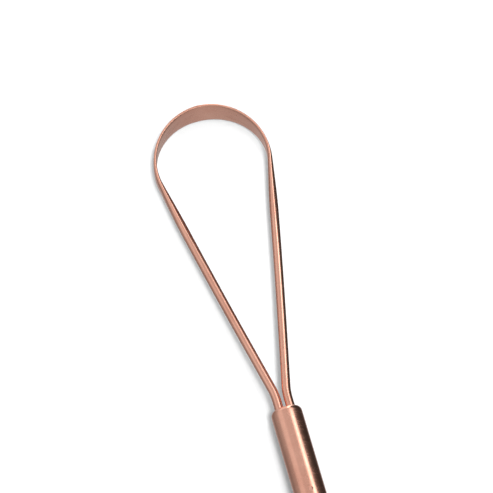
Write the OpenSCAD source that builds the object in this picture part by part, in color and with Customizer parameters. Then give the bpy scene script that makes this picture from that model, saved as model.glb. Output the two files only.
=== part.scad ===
// Hawthorne strainer with a forged loop handle, a round neck and a sliding spring gate.
// Frame: origin at the centre of the plate's raised top face, +Z up, +Y along the handle.

/* [Loop handle] */
// outer radius of the round bow at the end of the handle
bow_r = 16.9; // [12:0.05:22]
// height of the flattened band at the top of the bow
band_w = 9.85; // [5:0.05:12]
// thickness of the flattened band at the top of the bow
band_t = 0.9; // [0.4:0.02:1.6]
// diameter of the round rod that both arms end as
rod_d = 2.55; // [1.8:0.05:4]
// angle between each arm and the handle's centre line
arm_angle = 11.8; // [6:0.1:20]
// how far the middle of each arm bows outward
arm_bulge = 0.25; // [0:0.05:1]
// distance between the centre lines of the two rods in the neck
rod_gap = 3.25; // [2.6:0.05:5]
// radius of the bend that turns each arm parallel to the neck
bend_r = 18; // [8:0.5:40]
// depth below the neck mouth where the two arms would meet
apex_depth = 2.75; // [0:0.05:12]
// length of rod set inside the neck
rod_seat = 13; // [6:0.5:20]

/* [Neck] */
// outside diameter of the neck sleeve
neck_d = 8.8; // [6:0.1:12]
// wall thickness of the neck sleeve
neck_wall = 1.3; // [0.8:0.05:2]
// radial depth of the rounding around the neck mouth
lip_r = 1.15; // [0.2:0.05:1.3]
// length of the rounding around the neck mouth
lip_len = 1.5; // [0.2:0.05:3]
// length of the neck sleeve
neck_len = 30; // [20:0.5:45]
// distance from the plate centre to the neck mouth
neck_mouth_y = 70; // [60:0.5:90]
// thickness of the braze filler at the neck mouth
braze_t = 1.3; // [0.8:0.1:3]
// distance of the filler's face below the neck mouth
braze_set = 0.15; // [0:0.05:1]
// diameter of the pin that locks the tang in the neck
pin_d = 1.6; // [1:0.1:2.5]

/* [Plate] */
// radius of the plate's rim
plate_r = 36.5; // [32:0.5:42]
// radius of the raised middle of the plate
raised_r = 28; // [22:0.5:32]
// height of the raised middle above the rim
raise_h = 1.2; // [0.4:0.1:3]
// sheet thickness of the plate
sheet_t = 1; // [0.6:0.1:2]
// distance from the plate centre to the tip of each ear
ear_reach = 52; // [46:0.5:58]
// radius of each ear's rounded tip
ear_tip_r = 5.5; // [3:0.1:8]
// half width of each ear where it meets the rim
ear_root = 9.5; // [6:0.1:14]
// diameter of the drain holes
drain_d = 3.4; // [2:0.1:3.9]
// distance between the rings of drain holes
drain_pitch = 5.6; // [4.5:0.1:8]
// number of rings of drain holes around the plate's plain centre
drain_rings = 4; // [2:1:4]

/* [Tang strap] */
// thickness of the strap
strap_t = 1.2; // [0.8:0.1:2]
// width of the tang that enters the neck
tang_w = 5.4; // [4:0.1:6]
// half angle that the strap's foot covers along the rim
foot_angle = 19; // [12:0.5:24]
// diameter of the rivet shanks
rivet_d = 2.5; // [1.6:0.1:3]
// diameter of the rivet heads
rivet_head_d = 4.4; // [3:0.1:5.5]
// height of the rivets' domed top heads
rivet_head_h = 0.9; // [0.5:0.05:1.5]

/* [Coil spring] */
// diameter of the spring wire
wire_d = 0.9; // [0.6:0.05:1.4]
// outside diameter of the coil
coil_d = 8.5; // [6:0.1:11]
// radius of the ring that the coil's centre line follows
ring_r = 38.3; // [34:0.1:42]
// number of turns in the coil
turns = 52; // [30:1:60]
// half angle of the gap in the ring below the neck
gap_angle = 32; // [28:0.5:50]
// half angle of the two lugs that hold the spring's ends
lug_angle = 23; // [21:0.5:30]
// space between the top of the coil and the rim
coil_space = 0.4; // [0.3:0.05:1]

/* [Hidden] */
$fn = 64;
fit_play = 0.02;
copper = [0.80, 0.52, 0.40];
copper_dark = [0.66, 0.42, 0.33];
copper_pale = [0.88, 0.64, 0.52];

// heights of the plate, measured down from the raised top face
rim_top = -raise_h;
rim_low = -raise_h - sheet_t;

// the coil hangs just under the rim and its lowest point rests on the table
coil_z = rim_low - coil_space - coil_d / 2;
rest_z = coil_z - coil_d / 2;

// loop handle, laid out from the neck mouth along the handle's own centre line
bow_c = bow_r - band_t / 2;
bow_y = bow_c / sin(arm_angle) - apex_depth;
rod_x = rod_gap / 2;
bend_y = (rod_x + bend_r * (1 - cos(arm_angle))) / tan(arm_angle) - bend_r * sin(arm_angle) - apex_depth;
bow_sweep = 90 + arm_angle;
bow_len = bow_c * bow_sweep * PI / 180;
arm_start = [bow_c * sin(bow_sweep), bow_y + bow_c * cos(bow_sweep)];
arm_end = [rod_x + bend_r * (1 - cos(arm_angle)), bend_y + bend_r * sin(arm_angle)];
arm_len = norm(arm_start - arm_end);
thin_until = bow_len - 10;
round_from = bow_len + 16;
square_until = bow_len - 9;
oval_from = bow_len + 3;

// the handle dips so that the band's lower edge reaches the table as well
tang_y = 38;
tang_z = rim_top + strap_t / 2;
handle_slope = atan((tang_z - band_w / 2 - rest_z) / (neck_mouth_y - tang_y + bow_y + bow_r));
mouth_z = tang_z - (neck_mouth_y - tang_y) * tan(handle_slope);

// ears: the straight edge that leaves the root touches the tip's circle
ear_x = ear_reach - ear_tip_r;
ear_from = plate_r - 3.5;
ear_span = norm([ear_x - ear_from, ear_root]);
ear_lean = acos(ear_tip_r / ear_span) - atan2(ear_x - ear_from, ear_root);

// strap and rivets
foot_in = raised_r + raise_h + 0.9;
foot_out = plate_r - 0.5;
rivet_ring = (foot_in + foot_out) / 2;
rivet_angle = 12.5;
rivet_low_h = 0.55;
pin_y = 45;

// spring and lugs
coil_c = (coil_d - wire_d) / 2;
steps = 12;
wire_sides = 6;
lug_w = 4.6;
lug_hole = 2;
tail_turns = 0.75;
tail_steps = 8;
hook_steps = 6;
hook_len = 2.2;
hook_angle = 3;

function ease(x) = x <= 0 ? 0 : x >= 1 ? 1 : x * x * (3 - 2 * x);

// ---- section of the forged rod, at the distance a from the top of the bow ----
function width_share(a) = a >= round_from ? 0
    : 0.6 * (1 - a / round_from) + 0.4 * (1 + cos(180 * a / round_from)) / 2;
function section_w(a) = rod_d + (band_w - rod_d) * width_share(a);
function section_t(a) = band_t + (rod_d - band_t) * ease((a - thin_until) / (round_from - thin_until));
function section_n(a) = 6 - 4 * ease((a - square_until) / (oval_from - square_until));

// ---- one side of the loop: position, the way it faces outward, distance from the bow's top ----
function bow_point(q) = [bow_c * sin(q), bow_y + bow_c * cos(q), q, bow_c * q * PI / 180];
function arm_point(s) = let(b = arm_bulge * sin(180 * s / arm_len))
    [arm_start[0] - s * sin(arm_angle) + b * cos(arm_angle),
     arm_start[1] - s * cos(arm_angle) + b * sin(arm_angle), bow_sweep, bow_len + s];
function bend_point(b) = [rod_x + bend_r * (1 - cos(b)), bend_y + bend_r * sin(b), 90 + b,
                          bow_len + arm_len + bend_r * (arm_angle - b) * PI / 180];

half_path = concat(
    [for (i = [0 : 26]) bow_point(bow_sweep * i / 26)],
    [for (i = [1 : 12]) arm_point((round_from - bow_len) * i / 12)],
    [for (i = [1 : 6]) arm_point(round_from - bow_len + (arm_len - round_from + bow_len) * i / 6)],
    [for (i = [1 : 6]) bend_point(arm_angle * (1 - i / 6))],
    [[rod_x, -rod_seat, 90, 999]]);

function mirrored(p) = [-p[0], p[1], -p[2], p[3]];
last = len(half_path) - 1;
loop_path = concat([for (i = [last : -1 : 1]) mirrored(half_path[i])], half_path);

// twenty points on an oval that passes from a flat band, power 6, to a round rod, power 2
function oval(c, power) = sign(c) * pow(abs(c), 2 / power);
function ring_points(p) =
    [for (k = [0 : 19]) let(
        q = 9 + 18 * k,
        out = section_t(p[3]) / 2 * oval(cos(q), section_n(p[3])),
        up = section_w(p[3]) / 2 * oval(sin(q), section_n(p[3])))
        [p[0] + out * sin(p[2]), p[1] + out * cos(p[2]), up]];

// a closed skin over equal rings of points
module skin(rings) {
    m = len(rings[0]);
    n = len(rings);
    polyhedron(
        points = [for (ring = rings) each ring],
        faces = concat(
            [[for (k = [0 : m - 1]) k]],
            [for (i = [0 : n - 2], k = [0 : m - 1])
                [i * m + k, (i + 1) * m + k, (i + 1) * m + (k + 1) % m, i * m + (k + 1) % m]],
            [[for (k = [m - 1 : -1 : 0]) (n - 1) * m + k]]),
        convexity = 8);
}

// places a shape drawn along +Y from the neck mouth
module on_handle() {
    translate([0, neck_mouth_y, mouth_z])
        rotate([-handle_slope, 0, 0])
            children();
}

// a cylinder along the handle's own +Y, from s0 to s1
module along(s0, s1, r) {
    translate([0, s0, 0])
        rotate([-90, 0, 0])
            cylinder(h = s1 - s0, r = r);
}

module handle_loop() {
    color(copper)
        on_handle()
            skin([for (p = loop_path) ring_points(p)]);
}

module neck_sleeve() {
    r = neck_d / 2;
    c = 0.3;
    color(copper)
        difference() {
            on_handle()
                rotate([-90, 0, 0])
                    rotate_extrude()
                        polygon(concat(
                            [[r - neck_wall, -neck_len], [r - c, -neck_len], [r, -neck_len + c]],
                            [for (k = [0 : 6]) [r - lip_r * (1 - cos(15 * k)), -lip_len * (1 - sin(15 * k))]],
                            [[r - neck_wall, 0]]));
            pin_space();
        }
}

module pin_space() {
    translate([0, pin_y, -15])
        cylinder(h = 30, d = pin_d + 2 * fit_play);
}

module rod_holes(s0, s1) {
    for (x = [-rod_x, rod_x])
        translate([x, 0, 0])
            along(s0, s1, rod_d / 2 + fit_play);
}

module neck_core() {
    r = neck_d / 2 - neck_wall - fit_play;
    color(copper_dark)
        difference() {
            on_handle()
                difference() {
                    along(-neck_len + 0.4, -braze_set - braze_t, r);
                    rod_holes(-rod_seat - 0.2, 1);
                }
            translate([-tang_w / 2 - fit_play, 20, tang_z - strap_t / 2 - fit_play])
                cube([tang_w + 2 * fit_play, 29.2, strap_t + 2 * fit_play]);
            pin_space();
        }
}

module braze_fill() {
    color(copper_pale)
        on_handle()
            difference() {
                along(-braze_set - braze_t, -braze_set, neck_d / 2 - neck_wall - fit_play);
                rod_holes(-5, 1);
            }
}

module neck_pin() {
    z = mouth_z + (neck_mouth_y - pin_y) * tan(handle_slope);
    r = pin_d / 2;
    color(copper_pale)
        translate([0, pin_y, z])
            rotate_extrude()
                polygon([[0, -neck_d / 2 - 0.12], [r - 0.25, -neck_d / 2 - 0.12], [r, -neck_d / 2 + 0.1],
                         [r, neck_d / 2 - 0.1], [r - 0.25, neck_d / 2 + 0.12], [0, neck_d / 2 + 0.12]]);
}

module foot_outline() {
    intersection() {
        difference() {
            circle(r = foot_out, $fn = 180);
            circle(r = foot_in, $fn = 180);
        }
        polygon([[0, 0], [60 * sin(foot_angle), 60 * cos(foot_angle)], [0, 90],
                 [-60 * sin(foot_angle), 60 * cos(foot_angle)]]);
    }
}

module rivet_places() {
    for (q = [-rivet_angle, rivet_angle])
        rotate([0, 0, q])
            translate([0, rivet_ring, 0])
                children();
}

module tang_strap() {
    color(copper)
        difference() {
            translate([0, 0, rim_top])
                linear_extrude(height = strap_t)
                    union() {
                        foot_outline();
                        polygon([[-tang_w / 2, 49], [-tang_w / 2, 39.6], [-tang_w / 2 - 3, foot_out - 1.2],
                                 [-tang_w / 2 - 3, foot_out - 2.5], [tang_w / 2 + 3, foot_out - 2.5],
                                 [tang_w / 2 + 3, foot_out - 1.2], [tang_w / 2, 39.6], [tang_w / 2, 49]]);
                    }
            rivet_places()
                translate([0, 0, -5])
                    cylinder(h = 10, d = rivet_d + 2 * fit_play);
            pin_space();
        }
}

// domed head above the strap, plain shank, and a flat peened head under the rim
module plate_rivets() {
    hr = rivet_head_d / 2;
    dome_r = (hr * hr + rivet_head_h * rivet_head_h) / (2 * rivet_head_h);
    top = rim_top + strap_t;
    sweep = asin(hr / dome_r);
    color(copper_pale)
        rivet_places()
            rotate_extrude()
                polygon(concat(
                    [[0, rim_low - rivet_low_h], [hr - 0.5, rim_low - rivet_low_h], [hr - 0.2, rim_low - 0.25],
                     [hr - 0.2, rim_low], [rivet_d / 2, rim_low], [rivet_d / 2, top]],
                    [for (k = [0 : 8]) [dome_r * sin(sweep * (1 - k / 8)),
                                        top + rivet_head_h - dome_r * (1 - cos(sweep * (1 - k / 8)))]]));
}

// half of the plate seen in section, from the centre out to the rim
module plate_round() {
    c = 0.15;
    rotate_extrude($fn = 180)
        polygon([[0, 0], [raised_r, 0], [raised_r + raise_h, rim_top], [plate_r - c, rim_top],
                 [plate_r, rim_top - c], [plate_r, rim_low + c], [plate_r - c, rim_low],
                 [raised_r + raise_h - 0.4, rim_low], [raised_r - 0.4, -sheet_t], [0, -sheet_t]]);
}

module ear() {
    tx = ear_x + ear_tip_r * sin(ear_lean);
    ty = ear_tip_r * cos(ear_lean);
    translate([0, 0, rim_low])
        linear_extrude(height = sheet_t)
            union() {
                polygon([[ear_from, -ear_root], [tx, -ty], [tx, ty], [ear_from, ear_root]]);
                translate([ear_x, 0])
                    circle(r = ear_tip_r);
            }
}

// a tongue of the rim folded down, with the hole that the spring's end runs through
module lug(side) {
    rotate([0, 0, -side * lug_angle])
        translate([0, ring_r, 0]) {
            difference() {
                union() {
                    translate([-0.5, -lug_w / 2, coil_z])
                        cube([1, lug_w, rim_top - coil_z]);
                    translate([-0.5, 0, coil_z])
                        rotate([0, 90, 0])
                            cylinder(h = 1, d = lug_w);
                }
                translate([-2, 0, coil_z])
                    rotate([0, 90, 0])
                        cylinder(h = 4, d = lug_hole);
            }
            translate([side > 0 ? -3.2 : 0, -lug_w / 2 - 2, rim_low])
                cube([3.2, lug_w + 2, sheet_t]);
        }
}

module drain_holes() {
    for (ring = [1 : drain_rings], k = [0 : 6 * ring - 1])
        rotate([0, 0, k * 60 / ring + 15 * ring])
            translate([ring * drain_pitch, 0, -5])
                cylinder(h = 10, d = drain_d, $fn = 32);
}

module strainer_plate() {
    color(copper)
        difference() {
            union() {
                plate_round();
                ear();
                mirror([1, 0, 0])
                    ear();
                lug(1);
                lug(-1);
            }
            drain_holes();
            rivet_places()
                translate([0, 0, -5])
                    cylinder(h = 10, d = rivet_d + 2 * fit_play);
        }
}

// ---- spring wire: u runs from 0 at the ring's front middle to 1 at the hook, side is +1 or -1 ----
function ring_point(q, out, up) = [(ring_r + out) * sin(q), (ring_r + out) * cos(q), coil_z + up];
coil_q0 = gap_angle;
coil_q1 = 360 - gap_angle;
tail_q = gap_angle - 5;
hook_q = lug_angle - 2.2;

function coil_at(i) = let(
        n = turns * steps,
        q = coil_q0 + (coil_q1 - coil_q0) * i / n,
        turn = 360 * i / steps)
    ring_point(q, coil_c * cos(turn), coil_c * sin(turn));

// the last part of a turn winds in to the coil's centre line
function tail_at(side, i) = let(
        s = i / tail_steps,
        q = gap_angle + (tail_q - gap_angle) * s,
        c = coil_c * (1 - ease(s)),
        turn = -360 * tail_turns * s,
        at = ring_point(q, c * cos(turn), c * sin(turn)))
    side > 0 ? at : [-at[0], at[1], 2 * coil_z - at[2]];

// straight through the lug, then bent down to stop it pulling out
function hook_at(side, i) = let(
        s = i / hook_steps,
        q = tail_q + (hook_q - tail_q) * ease(min(1, 1.5 * s)),
        at = ring_point(q - 0.6 * s, 0, -hook_len * ease((s - 0.55) / 0.45)))
    [side * at[0], at[1], at[2]];

wire_path = concat(
    [for (i = [hook_steps : -1 : 1]) hook_at(1, i)],
    [for (i = [tail_steps : -1 : 1]) tail_at(1, i)],
    [for (i = [0 : turns * steps]) coil_at(i)],
    [for (i = [1 : tail_steps]) tail_at(-1, i)],
    [for (i = [1 : hook_steps]) hook_at(-1, i)]);

function unit(v) = v / norm(v);
function square_to(v, t) = unit(v - t * (v * t));
wire_n = len(wire_path);
wire_dirs = [for (i = [0 : wire_n - 1])
    unit(wire_path[min(i + 1, wire_n - 1)] - wire_path[max(i - 1, 0)])];
wire_sideways = [for (i = 0, v = square_to([0.3, 1, 0.2], wire_dirs[0]);
                      i < wire_n;
                      i = i + 1, v = i < wire_n ? square_to(v, wire_dirs[i]) : v) v];

module coil_spring() {
    r = wire_d / 2;
    color(copper_dark)
        skin([for (i = [0 : wire_n - 1]) let(t = wire_dirs[i], v = wire_sideways[i], w = cross(v, t))
            [for (k = [0 : wire_sides - 1])
                wire_path[i] + r * (v * cos(360 * k / wire_sides) + w * sin(360 * k / wire_sides))]]);
}

handle_loop();
neck_sleeve();
neck_core();
braze_fill();
neck_pin();
tang_strap();
plate_rivets();
strainer_plate();
coil_spring();
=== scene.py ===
import math

import bpy
import numpy as np
from mathutils import Matrix, Vector


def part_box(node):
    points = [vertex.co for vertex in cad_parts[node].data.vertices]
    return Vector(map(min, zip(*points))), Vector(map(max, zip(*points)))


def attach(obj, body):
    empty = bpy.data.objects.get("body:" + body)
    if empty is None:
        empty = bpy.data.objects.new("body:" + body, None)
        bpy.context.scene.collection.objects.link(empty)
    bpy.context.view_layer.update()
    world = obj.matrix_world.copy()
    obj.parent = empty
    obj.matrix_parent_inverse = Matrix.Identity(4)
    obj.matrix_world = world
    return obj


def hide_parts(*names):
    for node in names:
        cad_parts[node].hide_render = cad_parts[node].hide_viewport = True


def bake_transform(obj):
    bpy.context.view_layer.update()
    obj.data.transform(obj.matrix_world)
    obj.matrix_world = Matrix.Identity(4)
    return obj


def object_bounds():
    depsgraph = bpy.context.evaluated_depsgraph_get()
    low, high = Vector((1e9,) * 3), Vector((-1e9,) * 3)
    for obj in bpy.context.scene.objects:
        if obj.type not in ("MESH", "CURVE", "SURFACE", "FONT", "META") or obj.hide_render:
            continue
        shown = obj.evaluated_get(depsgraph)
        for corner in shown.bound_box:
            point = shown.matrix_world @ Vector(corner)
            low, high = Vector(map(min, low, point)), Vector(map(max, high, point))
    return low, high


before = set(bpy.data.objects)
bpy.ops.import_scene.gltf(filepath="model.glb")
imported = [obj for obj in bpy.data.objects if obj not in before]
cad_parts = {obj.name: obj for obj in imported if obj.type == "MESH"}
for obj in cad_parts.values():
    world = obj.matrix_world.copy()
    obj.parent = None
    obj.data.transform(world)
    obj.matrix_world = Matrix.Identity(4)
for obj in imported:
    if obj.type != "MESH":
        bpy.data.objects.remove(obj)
cad_lo, cad_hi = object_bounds()

MM = 0.001

# ---------------------------------------------------------------- sizes shared with the CAD
BOW_R = 16.9 * MM
BAND_W = 9.85 * MM
BAND_T = 0.9 * MM
ROD_D = 2.55 * MM
ARM_ANGLE = math.radians(11.8)
ARM_BULGE = 0.25 * MM
ROD_GAP = 3.25 * MM
BEND_R = 18 * MM
APEX_DEPTH = 2.75 * MM
ROD_SEAT = 13 * MM
NECK_D = 8.8 * MM
NECK_WALL = 1.3 * MM
NECK_LEN = 30 * MM
LIP_R = 1.15 * MM
LIP_LEN = 1.5 * MM
BRAZE_SET = 0.15 * MM
BRAZE_T = 1.3 * MM
NECK_MOUTH_Y = 70 * MM
TANG_Y = 38 * MM
FIT_PLAY = 0.02 * MM
WIRE_D = 0.9 * MM
COIL_D = 8.5 * MM
RING_R = 38.3 * MM
TURNS = 52
GAP_ANGLE = math.radians(32)
LUG_ANGLE = math.radians(23)
TAIL_TURN = math.radians(270)
HOOK_LEN = 2.2 * MM

BODY_FIXED = "strainer"


# ---------------------------------------------------------------- places read from the frame
strap_lo, strap_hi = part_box("tang_strap")
wire_lo, wire_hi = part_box("coil_spring")
FLOOR_Z = cad_lo[2]
TANG_Z = (strap_lo[2] + strap_hi[2]) / 2
COIL_Z = wire_hi[2] - COIL_D / 2

BOW_C = BOW_R - BAND_T / 2
BOW_Y = BOW_C / math.sin(ARM_ANGLE) - APEX_DEPTH
ROD_X = ROD_GAP / 2
COIL_LOW = COIL_Z - COIL_D / 2
SLOPE = math.atan((TANG_Z - BAND_W / 2 - COIL_LOW) / (NECK_MOUTH_Y - TANG_Y + BOW_Y + BOW_R))
MOUTH_Z = TANG_Z - (NECK_MOUTH_Y - TANG_Y) * math.tan(SLOPE)
HANDLE = Matrix.Translation((0, NECK_MOUTH_Y, MOUTH_Z)) @ Matrix.Rotation(-SLOPE, 4, "X")

# ---------------------------------------------------------------- camera, angled from the handle's plane
VIEW_ELEVATION = math.radians(67.0)
VIEW_AZIMUTH = math.radians(-15.27)
VIEW_DISTANCE = 0.9
VIEW_WIDTH = 139.519 * MM
AIM = Vector((2.52 * MM, 53.03 * MM - APEX_DEPTH, 0))
SENSOR = 36.0
NEAREST, FARTHEST = 0.05, 20


def make_camera():
    back = Vector((math.sin(VIEW_AZIMUTH) * math.cos(VIEW_ELEVATION),
                   -math.cos(VIEW_AZIMUTH) * math.cos(VIEW_ELEVATION),
                   math.sin(VIEW_ELEVATION)))
    right = Vector((math.cos(VIEW_AZIMUTH), math.sin(VIEW_AZIMUTH), 0))
    up = back.cross(right)
    turn = HANDLE.to_3x3() @ Matrix((right, up, back)).transposed()
    data = bpy.data.cameras.new("camera")
    data.sensor_width = SENSOR
    data.lens = SENSOR * VIEW_DISTANCE / VIEW_WIDTH
    data.clip_start, data.clip_end = NEAREST, FARTHEST
    cam = bpy.data.objects.new("camera", data)
    cam.matrix_world = Matrix.Translation(HANDLE @ AIM + turn @ Vector((0, 0, VIEW_DISTANCE))) @ turn.to_4x4()
    bpy.context.scene.collection.objects.link(cam)
    bpy.context.scene.camera = cam
    return turn


VIEW_TURN = make_camera()


# ---------------------------------------------------------------- node helpers
def new_nodes(material):
    material.use_nodes = True
    tree = material.node_tree
    tree.nodes.clear()
    return tree


def add(tree, kind, **values):
    node = tree.nodes.new(kind)
    for key, value in values.items():
        if key in node.inputs:
            node.inputs[key].default_value = value
        else:
            setattr(node, key, value)
    return node


def math_node(tree, operation, a, b=None):
    node = add(tree, "ShaderNodeMath", operation=operation)
    for slot, value in enumerate((a, b)):
        if value is None:
            continue
        if isinstance(value, (int, float)):
            node.inputs[slot].default_value = value
        else:
            tree.links.new(value, node.inputs[slot])
    return node.outputs[0]


def map_range(tree, value, a0, a1, b0, b1):
    node = add(tree, "ShaderNodeMapRange")
    tree.links.new(value, node.inputs["Value"])
    for name, v in (("From Min", a0), ("From Max", a1), ("To Min", b0), ("To Max", b1)):
        node.inputs[name].default_value = v
    return node.outputs["Result"]


def mix_colour(tree, factor, a, b):
    node = add(tree, "ShaderNodeMix", data_type="RGBA")
    tree.links.new(factor, node.inputs[0])
    for slot, value in ((6, a), (7, b)):
        if isinstance(value, tuple):
            node.inputs[slot].default_value = value
        else:
            tree.links.new(value, node.inputs[slot])
    return node.outputs[2]


def noise(tree, vector, scale, detail=3.0, rough=0.55):
    node = add(tree, "ShaderNodeTexNoise", Scale=scale, Detail=detail, Roughness=rough)
    tree.links.new(vector, node.inputs["Vector"])
    return node.outputs["Fac"]


def stretched(tree, vector, scale):
    node = add(tree, "ShaderNodeMapping")
    node.inputs["Scale"].default_value = scale
    tree.links.new(vector, node.inputs["Vector"])
    return node.outputs["Vector"]


RING_GIRTH = 0.03


def lay_coords(tree, lay):
    """Coordinates for the polishing lines, and plain object space.

    run goes along and around a swept piece, ring goes round the plate's centre, flat is object space.
    """
    coords = add(tree, "ShaderNodeTexCoord")
    if lay == "run":
        return coords.outputs["UV"], coords.outputs["Object"]
    if lay == "ring":
        split = add(tree, "ShaderNodeSeparateXYZ")
        tree.links.new(coords.outputs["Object"], split.inputs[0])
        x, y, z = split.outputs
        square = math_node(tree, "ADD", math_node(tree, "MULTIPLY", x, x), math_node(tree, "MULTIPLY", y, y))
        radius = math_node(tree, "SQRT", square)
        turn = math_node(tree, "MULTIPLY", math_node(tree, "ARCTAN2", x, y), RING_GIRTH)
        join = add(tree, "ShaderNodeCombineXYZ")
        tree.links.new(turn, join.inputs[0])
        tree.links.new(radius, join.inputs[1])
        tree.links.new(z, join.inputs[2])
        return join.outputs[0], coords.outputs["Object"]
    return coords.outputs["Object"], coords.outputs["Object"]


STAIN_SCALE, SMEAR_SCALE, PIT_SCALE = 130.0, 420.0, 3600.0
BROAD_ALONG, BROAD_ACROSS = 0.4, 0.16
SCRATCH_SHADE = 0.78
LINE_RELIEF, PIT_RELIEF = 0.8, 0.25


def copper(name, base, shade, rough, lay="run", along=60.0, across=5200.0, bump=0.12, depth=6e-6,
           stretch=0.0):
    """Plated copper with fine polishing lines, faint stains and smears, and small pits.

    base and shade are the clean and stained colours, rough its least and most roughness. along and across are
    how many lines a metre holds in the two directions, bump and depth say how deep they are, and stretch is
    how far the shine is drawn out round the Z axis.
    """
    material = bpy.data.materials.new(name)
    tree = new_nodes(material)
    line_at, object_at = lay_coords(tree, lay)
    lines = noise(tree, stretched(tree, line_at, (along, across, across)), 1.0, 4.0, 0.6)
    broad_across = across * BROAD_ACROSS
    broad_at = stretched(tree, line_at, (along * BROAD_ALONG, broad_across, broad_across))
    broad = noise(tree, broad_at, 1.0, 2.0, 0.5)
    stains = noise(tree, object_at, STAIN_SCALE, 4.0, 0.6)
    smears = noise(tree, object_at, SMEAR_SCALE, 3.0, 0.6)
    pits = noise(tree, object_at, PIT_SCALE, 2.0, 0.5)

    stain_part = map_range(tree, stains, 0.38, 0.66, 0.0, 1.0)
    colour = mix_colour(tree, stain_part, base + (1,), shade + (1,))
    scratch = tuple(SCRATCH_SHADE * c for c in shade) + (1,)
    colour = mix_colour(tree, map_range(tree, lines, 0.62, 0.8, 0.0, 0.45), colour, scratch)

    lo, hi = rough
    roughness = math_node(tree, "ADD", map_range(tree, broad, 0.3, 0.7, lo, hi),
                          map_range(tree, smears, 0.45, 0.75, 0.0, 0.1))
    roughness = math_node(tree, "ADD", roughness, map_range(tree, lines, 0.35, 0.65, -0.02, 0.04))

    relief = math_node(tree, "ADD", math_node(tree, "MULTIPLY", lines, LINE_RELIEF),
                       math_node(tree, "MULTIPLY", pits, PIT_RELIEF))
    bumped = add(tree, "ShaderNodeBump", Strength=bump, Distance=depth)
    tree.links.new(relief, bumped.inputs["Height"])

    shader = add(tree, "ShaderNodeBsdfPrincipled")
    shader.inputs["Metallic"].default_value = 1.0
    tree.links.new(colour, shader.inputs["Base Color"])
    tree.links.new(roughness, shader.inputs["Roughness"])
    tree.links.new(bumped.outputs["Normal"], shader.inputs["Normal"])
    if stretch:
        shader.inputs["Anisotropic"].default_value = stretch
        tangent = add(tree, "ShaderNodeTangent", direction_type="RADIAL", axis="Z")
        tree.links.new(tangent.outputs[0], shader.inputs["Tangent"])
    out = add(tree, "ShaderNodeOutputMaterial")
    tree.links.new(shader.outputs[0], out.inputs["Surface"])
    return material


COPPER = (0.93, 0.495, 0.37)
COPPER_SHADE = (0.87, 0.435, 0.32)
COPPER_PINK = (0.93, 0.52, 0.42)


# ---------------------------------------------------------------- mesh helpers
def ease(x):
    x = min(1.0, max(0.0, x))
    return x * x * (3 - 2 * x)


def mesh_object(name, points, faces, uvs=None, smooth=True):
    mesh = bpy.data.meshes.new(name)
    mesh.from_pydata([tuple(p) for p in points], [], faces)
    if uvs is not None:
        layer = mesh.uv_layers.new(name="run")
        for poly, corners in zip(mesh.polygons, uvs):
            for loop, uv in zip(poly.loop_indices, corners):
                layer.data[loop].uv = uv
    for poly in mesh.polygons:
        poly.use_smooth = smooth
    mesh.update()
    obj = bpy.data.objects.new(name, mesh)
    bpy.context.scene.collection.objects.link(obj)
    return obj


def skin(name, rings, runs):
    """A closed sweep over rings of equal length. runs holds each ring's distance along the sweep."""
    n, m = len(rings), len(rings[0])
    rings = np.asarray(rings, dtype=float)
    round_step = np.linalg.norm(np.roll(rings, -1, axis=1) - rings, axis=2)
    around = np.concatenate([np.zeros((n, 1)), np.cumsum(round_step, axis=1)], axis=1)
    faces, uvs = [], []
    for i in range(n - 1):
        for k in range(m):
            k2 = (k + 1) % m
            faces.append((i * m + k, i * m + k2, (i + 1) * m + k2, (i + 1) * m + k))
            uvs.append(((runs[i], around[i][k]), (runs[i], around[i][k + 1]),
                        (runs[i + 1], around[i + 1][k + 1]), (runs[i + 1], around[i + 1][k])))
    for i, order in ((0, range(m - 1, -1, -1)), (n - 1, range(m))):
        faces.append(tuple(i * m + k for k in order))
        uvs.append(tuple((runs[i], around[i][k]) for k in order))
    return mesh_object(name, rings.reshape(-1, 3), faces, uvs)


# ---------------------------------------------------------------- loop handle
BOW_SWEEP = math.pi / 2 + ARM_ANGLE
BOW_LEN = BOW_C * BOW_SWEEP
BEND_Y = ((ROD_X + BEND_R * (1 - math.cos(ARM_ANGLE))) / math.tan(ARM_ANGLE)
          - BEND_R * math.sin(ARM_ANGLE) - APEX_DEPTH)
ARM_START = Vector((BOW_C * math.sin(BOW_SWEEP), BOW_Y + BOW_C * math.cos(BOW_SWEEP)))
ARM_END = Vector((ROD_X + BEND_R * (1 - math.cos(ARM_ANGLE)), BEND_Y + BEND_R * math.sin(ARM_ANGLE)))
ARM_LEN = (ARM_START - ARM_END).length
BEND_LEN = BEND_R * ARM_ANGLE
THIN_UNTIL = BOW_LEN - 10 * MM
ROUND_FROM = BOW_LEN + 16 * MM
SQUARE_UNTIL = BOW_LEN - 9 * MM
OVAL_FROM = BOW_LEN + 3 * MM
BAND_POWER = 5.0
RIDGE_POWER = 1.35
RIDGE_SLOPE = 0.95
RIDGE_FROM, RIDGE_RISE = BOW_LEN - 7 * MM, 12 * MM
RIDGE_UNTIL, RIDGE_FADE = BOW_LEN + 11 * MM, 22 * MM
HALF_LEN = BOW_LEN + ARM_LEN + BEND_LEN + BEND_Y + ROD_SEAT


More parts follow.
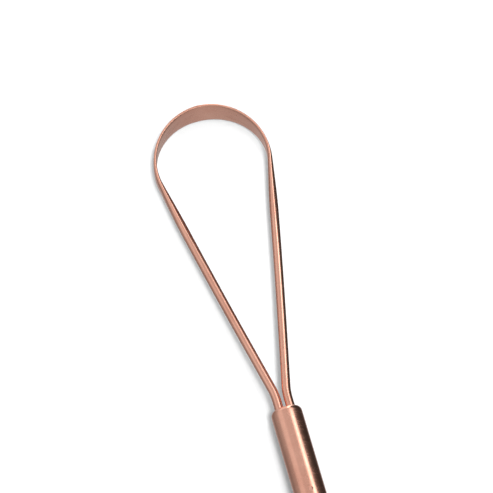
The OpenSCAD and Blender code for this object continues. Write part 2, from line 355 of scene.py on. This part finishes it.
def section(a):
    """Width, thickness and the oval's two powers at the distance a from the bow's top.

    Two is a round rod and more is a flat band. Between them the edge is forged to a low roof, whose two
    facets meet in a ridge.
    """
    share = 0.0
    if a < ROUND_FROM:
        share = 0.6 * (1 - a / ROUND_FROM) + 0.2 * (1 + math.cos(math.pi * a / ROUND_FROM))
    width = ROD_D + (BAND_W - ROD_D) * share
    thick = BAND_T + (ROD_D - BAND_T) * ease((a - THIN_UNTIL) / (ROUND_FROM - THIN_UNTIL))
    ridge = ease((a - RIDGE_FROM) / RIDGE_RISE) * (1 - ease((a - RIDGE_UNTIL) / RIDGE_FADE))
    power = BAND_POWER + (2 - BAND_POWER) * ease((a - SQUARE_UNTIL) / (OVAL_FROM - SQUARE_UNTIL))
    roof = max(2.0, 1.8 / RIDGE_SLOPE * width / thick)
    return width, thick, power + (RIDGE_POWER - power) * ridge, power + (roof - power) * ridge


def centre_line(a):
    """Position in the handle's plane, and the direction it faces outward, on the right side."""
    if a <= BOW_LEN:
        q = a / BOW_C
        return BOW_C * math.sin(q), BOW_Y + BOW_C * math.cos(q), q
    s = a - BOW_LEN
    if s <= ARM_LEN:
        b = ARM_BULGE * math.sin(math.pi * s / ARM_LEN)
        return (ARM_START[0] - s * math.sin(ARM_ANGLE) + b * math.cos(ARM_ANGLE),
                ARM_START[1] - s * math.cos(ARM_ANGLE) + b * math.sin(ARM_ANGLE), BOW_SWEEP)
    s -= ARM_LEN
    if s <= BEND_LEN:
        b = ARM_ANGLE - s / BEND_R
        return (ROD_X + BEND_R * (1 - math.cos(b)), BEND_Y + BEND_R * math.sin(b), math.pi / 2 + b)
    return ROD_X, BEND_Y - (s - BEND_LEN), math.pi / 2


RING_STEPS = 44


def oval(c, power):
    return math.copysign(abs(c) ** (2 / power), c)


def loop_ring(a, side):
    x, y, q = centre_line(a)
    width, thick, power_out, power_up = section(a)
    points = []
    for k in range(RING_STEPS):
        t = 2 * math.pi * (k + 0.5) / RING_STEPS
        out = thick / 2 * oval(math.cos(t), power_out)
        up = width / 2 * oval(math.sin(t), power_up)
        points.append(HANDLE @ Vector((side * (x + out * math.sin(q)), y + out * math.cos(q), up)))
    return points


def loop_stations():
    """Distances from the bow's top at which the rod gets a ring, close together where its shape changes."""
    fine = list(np.linspace(0, ROUND_FROM + 2 * MM, 190))
    arm = list(np.linspace(ROUND_FROM + 2 * MM, BOW_LEN + ARM_LEN, 40)[1:])
    bend = list(np.linspace(BOW_LEN + ARM_LEN, BOW_LEN + ARM_LEN + BEND_LEN, 24)[1:])
    seat = list(np.linspace(BOW_LEN + ARM_LEN + BEND_LEN, HALF_LEN, 12)[1:])
    return fine + arm + bend + seat


def make_loop():
    half = loop_stations()
    rings = [loop_ring(a, -1) for a in reversed(half[1:])] + [loop_ring(a, 1) for a in half]
    runs = [-a for a in reversed(half[1:])] + list(half)
    rod = skin("loop_rod", rings, runs)
    rod.data.materials.append(copper("copper_rod", COPPER, COPPER_SHADE, (0.15, 0.26)))
    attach(rod, BODY_FIXED)
    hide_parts("handle_loop")


# ---------------------------------------------------------------- neck
def lathe(name, profile, steps=160):
    """Turns a profile of (radius, distance along the handle) into a closed ring of surface."""
    points, faces, uvs = [], [], []
    m = len(profile)
    run = [0.0]
    for a, b in zip(profile, profile[1:] + profile[:1]):
        run.append(run[-1] + math.hypot(b[0] - a[0], b[1] - a[1]))
    for i in range(steps):
        t = 2 * math.pi * i / steps
        for r, s in profile:
            points.append(HANDLE @ Vector((r * math.sin(t), s, r * math.cos(t))))
    girth = 2 * math.pi * max(r for r, s in profile)
    for i in range(steps):
        j = (i + 1) % steps
        for k in range(m):
            k2 = (k + 1) % m
            faces.append((i * m + k, j * m + k, j * m + k2, i * m + k2))
            u0, u1 = girth * i / steps, girth * (i + 1) / steps
            uvs.append(((u0, run[k]), (u1, run[k]), (u1, run[k + 1]), (u0, run[k + 1])))
    return mesh_object(name, points, faces, uvs)


NECK_SOFT = 0.3 * MM


def make_neck():
    """The sleeve: a straight bore, a softened far end, and a rounded shoulder at the mouth."""
    r, inner = NECK_D / 2, NECK_D / 2 - NECK_WALL
    profile = [(inner, 0), (inner, -0.6 * MM), (inner, -NECK_LEN + 0.02 * MM), (inner, -NECK_LEN)]
    profile += [(inner + 0.1 * MM, -NECK_LEN), (r - NECK_SOFT - 0.1 * MM, -NECK_LEN)]
    profile += [(r - NECK_SOFT * (1 - math.sin(t)), -NECK_LEN + NECK_SOFT * (1 - math.cos(t)))
                for t in np.linspace(0, math.pi / 2, 6)]
    profile += [(r, -NECK_LEN * f) for f in (0.98, 0.8, 0.6, 0.4, 0.2, 0.08)]
    profile += [(r - LIP_R * (1 - math.cos(t)), -LIP_LEN * (1 - math.sin(t)))
                for t in np.linspace(0, math.pi / 2, 14)]
    profile += [(inner + 0.04 * MM, 0)]
    tube = lathe("neck_tube", profile)
    tube.data.materials.append(copper("copper_neck", COPPER, COPPER_SHADE, (0.14, 0.24), along=90.0))
    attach(tube, BODY_FIXED)
    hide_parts("neck_sleeve")


BRAZE_R = NECK_D / 2 - NECK_WALL - FIT_PLAY
BRAZE_DIP, UNDER_ROD = 0.25 * MM, 0.4 * MM
ROD_CLIMB, ROD_REACH = 0.55 * MM, 0.28 * MM
WALL_CLIMB, WALL_REACH = 0.12 * MM, 0.2 * MM


def braze_height(x, z):
    """Height of the filler: low in the middle, climbing towards the rods and the wall."""
    rod = min(math.hypot(x - ROD_X, z), math.hypot(x + ROD_X, z)) - ROD_D / 2
    if rod <= -0.05 * MM:
        return -BRAZE_SET - UNDER_ROD
    wall = BRAZE_R - math.hypot(x, z)
    climb = ROD_CLIMB * math.exp(-max(rod, 0) / ROD_REACH) + WALL_CLIMB * math.exp(-wall / WALL_REACH)
    return -BRAZE_SET - BRAZE_DIP + climb


def make_braze():
    """Filler that closes the neck's mouth around the two rods."""
    rings, steps = 26, 96
    points, faces, uvs = [], [], []
    points.append((0, braze_height(0, 0), 0))
    for i in range(1, rings + 1):
        for k in range(steps):
            t = 2 * math.pi * k / steps
            x, z = BRAZE_R * i / rings * math.sin(t), BRAZE_R * i / rings * math.cos(t)
            points.append((x, braze_height(x, z), z))
    low = -BRAZE_SET - BRAZE_T
    for k in range(steps):
        t = 2 * math.pi * k / steps
        points.append((BRAZE_R * math.sin(t), low, BRAZE_R * math.cos(t)))
    for k in range(steps):
        k2 = (k + 1) % steps
        faces.append((0, 1 + k, 1 + k2))
        for i in range(rings):
            a, b = 1 + i * steps, 1 + (i + 1) * steps
            faces.append((a + k, b + k, b + k2, a + k2))
    faces.append(tuple(1 + rings * steps + k for k in range(steps)))
    for face in faces:
        uvs.append(tuple((points[v][0], points[v][2]) for v in face))
    points = [HANDLE @ Vector(p) for p in points]
    fill = mesh_object("braze_fillet", points, faces, uvs)
    fill.data.materials.append(copper("copper_braze", COPPER_PINK, COPPER_SHADE, (0.3, 0.45), lay="flat",
                                      along=900.0, across=900.0, bump=0.3, depth=2e-5))
    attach(fill, BODY_FIXED)
    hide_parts("braze_fill")


# ---------------------------------------------------------------- coil spring
COIL_C = (COIL_D - WIRE_D) / 2
TAIL_Q = GAP_ANGLE - math.radians(5)
HOOK_Q = LUG_ANGLE - math.radians(2.2)


def ring_point(q, out, up):
    return Vector(((RING_R + out) * math.sin(q), (RING_R + out) * math.cos(q), COIL_Z + up))


def coil_point(f):
    q = GAP_ANGLE + (2 * math.pi - 2 * GAP_ANGLE) * f
    turn = 2 * math.pi * TURNS * f
    return ring_point(q, COIL_C * math.cos(turn), COIL_C * math.sin(turn))


def tail_point(side, s):
    q = GAP_ANGLE + (TAIL_Q - GAP_ANGLE) * s
    c, turn = COIL_C * (1 - ease(s)), -TAIL_TURN * s
    at = ring_point(q, c * math.cos(turn), c * math.sin(turn))
    return at if side > 0 else Vector((-at[0], at[1], 2 * COIL_Z - at[2]))


def hook_point(side, s):
    q = TAIL_Q + (HOOK_Q - TAIL_Q) * ease(min(1, 1.5 * s))
    at = ring_point(q - math.radians(0.6) * s, 0, -HOOK_LEN * ease((s - 0.55) / 0.45))
    return Vector((side * at[0], at[1], at[2]))


def wire_path(per_turn):
    n = TURNS * per_turn
    tail, hook = 20, 22
    path = [hook_point(1, i / hook) for i in range(hook, 0, -1)]
    path += [tail_point(1, i / tail) for i in range(tail, 0, -1)]
    path += [coil_point(i / n) for i in range(n + 1)]
    path += [tail_point(-1, i / tail) for i in range(1, tail + 1)]
    path += [hook_point(-1, i / hook) for i in range(1, hook + 1)]
    return path


def make_coil(per_turn=26, sides=12):
    path = wire_path(per_turn)
    n = len(path)
    rings, runs, run = [], [], 0.0
    across = Vector((0.3, 1, 0.2))
    for i, p in enumerate(path):
        ahead = (path[min(i + 1, n - 1)] - path[max(i - 1, 0)]).normalized()
        across = (across - ahead * across.dot(ahead)).normalized()
        other = ahead.cross(across)
        if i:
            run += (p - path[i - 1]).length
        runs.append(run)
        rings.append([p + WIRE_D / 2 * (across * math.cos(2 * math.pi * k / sides)
                                        + other * math.sin(2 * math.pi * k / sides)) for k in range(sides)])
    coil = skin("coil_wire", rings, runs)
    coil.data.materials.append(copper("copper_wire", COPPER, COPPER_SHADE, (0.2, 0.32), along=120.0))
    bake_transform(coil)
    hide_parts("coil_spring")


# ---------------------------------------------------------------- carried CAD nodes
SHARP_ANGLE = math.radians(30)


def dress(node, material, width=0.12 * MM, segments=3):
    """Gives a CAD node its metal, and takes the sharpness off its edges."""
    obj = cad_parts[node]
    obj.data.materials.clear()
    obj.data.materials.append(material)
    bevel = obj.modifiers.new("soft_edges", "BEVEL")
    bevel.width = width
    bevel.segments = segments
    bevel.limit_method = "ANGLE"
    bevel.angle_limit = SHARP_ANGLE


def dress_nodes():
    plate_metal = copper("copper_plate", COPPER, COPPER_SHADE, (0.20, 0.30), lay="ring",
                         along=90.0, across=4200.0, stretch=0.6)
    strap_metal = copper("copper_strap", COPPER, COPPER_SHADE, (0.18, 0.28), lay="flat",
                         along=70.0, across=3600.0)
    small_metal = copper("copper_small", COPPER_PINK, COPPER_SHADE, (0.2, 0.32), lay="flat",
                         along=500.0, across=1500.0)
    core_metal = copper("copper_core", COPPER_SHADE, COPPER_SHADE, (0.3, 0.45), lay="flat",
                        along=500.0, across=1500.0)
    dress("strainer_plate", plate_metal)
    dress("tang_strap", strap_metal)
    dress("plate_rivets", small_metal, 0.06 * MM, 2)
    dress("neck_pin", small_metal, 0.05 * MM, 2)
    dress("neck_core", core_metal, 0.05 * MM, 2)


# ---------------------------------------------------------------- floor and light
FLOOR_HALF = 1.6
PAPER, PAPER_GRAIN = (0.83, 0.83, 0.83, 1), (0.81, 0.81, 0.81, 1)


def make_floor():
    """Pale paper, clear from below so that the underside can be looked at."""
    corners = ((-1, -1), (1, -1), (1, 1), (-1, 1))
    points = [(FLOOR_HALF * x, FLOOR_HALF * y, FLOOR_Z) for x, y in corners]
    floor = mesh_object("studio_floor", points, [(0, 1, 2, 3)], smooth=False)
    material = bpy.data.materials.new("floor_paper")
    tree = new_nodes(material)
    coords = add(tree, "ShaderNodeTexCoord")
    grain = noise(tree, coords.outputs["Object"], 700.0, 3.0, 0.5)
    shade = mix_colour(tree, map_range(tree, grain, 0.3, 0.7, 0.0, 1.0), PAPER, PAPER_GRAIN)
    shader = add(tree, "ShaderNodeBsdfPrincipled", Roughness=0.9)
    tree.links.new(shade, shader.inputs["Base Color"])
    below = add(tree, "ShaderNodeNewGeometry")
    clear = add(tree, "ShaderNodeBsdfTransparent")
    mix = add(tree, "ShaderNodeMixShader")
    tree.links.new(below.outputs["Backfacing"], mix.inputs[0])
    tree.links.new(shader.outputs[0], mix.inputs[1])
    tree.links.new(clear.outputs[0], mix.inputs[2])
    out = add(tree, "ShaderNodeOutputMaterial")
    tree.links.new(mix.outputs[0], out.inputs["Surface"])
    floor.data.materials.append(material)
    floor.visible_glossy = False


# turn from straight up towards +X, in degrees, and how bright the room is there
ROOM_STOPS = (
    (-180, 0.50), (-152, 0.45), (-135, 0.22), (-116, 0.28), (-98, 0.38), (-78, 0.44),
    (-68, 0.74), (-42, 0.82), (-28, 0.62), (-14, 0.66), (2, 0.62), (12, 0.66), (46, 0.55),
    (58, 0.20), (72, 0.08), (100, 0.04), (128, 0.05), (140, 0.16), (150, 0.42), (180, 0.50),
)
ROOM_FILL = 0.70
# the soft box: its brightness, the turns where it begins, is full, is still full and ends, and how far along
# +Y it fades to a small part of that
SOFTBOX = 2.4
SOFTBOX_TURN = (18, 28, 38, 50)
SOFTBOX_BACK = (0.30, 0.50)
SOFTBOX_REST = 0.12
# the back wall: its brightness, where along +Y it begins and is full, and the same four places along +X
BACK_WALL = 2.4
BACK_WALL_FROM = (0.70, 0.80)
BACK_WALL_SIDE = (0.14, 0.24, 0.36, 0.46)
BACK_WALL_REST = 0.12
WHITE = (1, 1, 1, 1)
# how bright each lamp is, how wide it looks in degrees, and where it stands beside the line of sight
LAMPS = (
    ("key", 1.95, 9, (0.115, 0.08)),
    ("top", 0.90, 13, (0.18, 0.44)),
)


def room_level(tree, turn):
    ramp = add(tree, "ShaderNodeValToRGB")
    ramp.color_ramp.interpolation = "LINEAR"
    elements = ramp.color_ramp.elements
    while len(elements) < len(ROOM_STOPS):
        elements.new(0.5)
    for element, (at, level) in zip(elements, ROOM_STOPS):
        element.position = (at + 180) / 360
    for element, (at, level) in zip(elements, ROOM_STOPS):
        element.color = (level, level, level, 1)
    tree.links.new(map_range(tree, turn, -math.pi, math.pi, 0.0, 1.0), ramp.inputs["Fac"])
    return ramp.outputs["Color"]


def window(tree, value, places, rest=0.0):
    """From rest up to one between the first two places, and down to nothing between the last two."""
    a, b, c, d = places
    rise = map_range(tree, value, a, b, rest, 1.0)
    fall = map_range(tree, value, c, d, 1.0, 0.0)
    return math_node(tree, "MULTIPLY", rise, fall)


def softbox_level(tree, turn, y):
    box = window(tree, turn, [math.radians(v) for v in SOFTBOX_TURN])
    near, far = SOFTBOX_BACK
    return math_node(tree, "MULTIPLY", box, map_range(tree, y, near, far, SOFTBOX, SOFTBOX * SOFTBOX_REST))


def back_wall_level(tree, x, y):
    near, far = BACK_WALL_FROM
    wall = map_range(tree, y, near, far, 0.0, BACK_WALL)
    return math_node(tree, "MULTIPLY", wall, window(tree, x, BACK_WALL_SIDE, BACK_WALL_REST))


def make_world():
    """What the metal reflects is a pale room with a soft box up to the right, a dark right side and a bright
    back wall. Everything else is lit by an even fill.
    """
    world = bpy.data.worlds.new("studio_room")
    bpy.context.scene.world = world
    world.use_nodes = True
    tree = world.node_tree
    tree.nodes.clear()
    coords = add(tree, "ShaderNodeTexCoord")
    split = add(tree, "ShaderNodeSeparateXYZ")
    tree.links.new(coords.outputs["Generated"], split.inputs[0])
    x, y, z = split.outputs
    turn = math_node(tree, "ARCTAN2", x, z)
    level = math_node(tree, "ADD", room_level(tree, turn), softbox_level(tree, turn, y))
    level = math_node(tree, "ADD", level, back_wall_level(tree, x, y))

    seen = add(tree, "ShaderNodeBackground", Color=WHITE)
    tree.links.new(level, seen.inputs["Strength"])
    fill = add(tree, "ShaderNodeBackground", Color=WHITE, Strength=ROOM_FILL)
    path = add(tree, "ShaderNodeLightPath")
    mix = add(tree, "ShaderNodeMixShader")
    tree.links.new(path.outputs["Is Glossy Ray"], mix.inputs[0])
    tree.links.new(fill.outputs[0], mix.inputs[1])
    tree.links.new(seen.outputs[0], mix.inputs[2])
    out = add(tree, "ShaderNodeOutputWorld")
    tree.links.new(mix.outputs[0], out.inputs["Surface"])


def make_lamps():
    """Two soft lamps up to the right: shadows fall to the left of each arm and in front of the bow."""
    for name, strength, width, side in LAMPS:
        data = bpy.data.lights.new(name, "SUN")
        data.energy = strength
        data.angle = math.radians(width)
        lamp = bpy.data.objects.new(name, data)
        towards = VIEW_TURN @ Vector(side + (1.0,))
        lamp.rotation_mode = "QUATERNION"
        lamp.rotation_quaternion = towards.to_track_quat("Z", "Y")
        lamp.visible_glossy = False
        bpy.context.scene.collection.objects.link(lamp)


bpy.context.scene.view_settings.view_transform = "Standard"
bpy.context.scene.cycles.caustics_reflective = False
make_floor()
make_world()
make_lamps()
make_loop()
make_neck()
make_braze()
make_coil()

dress_nodes()
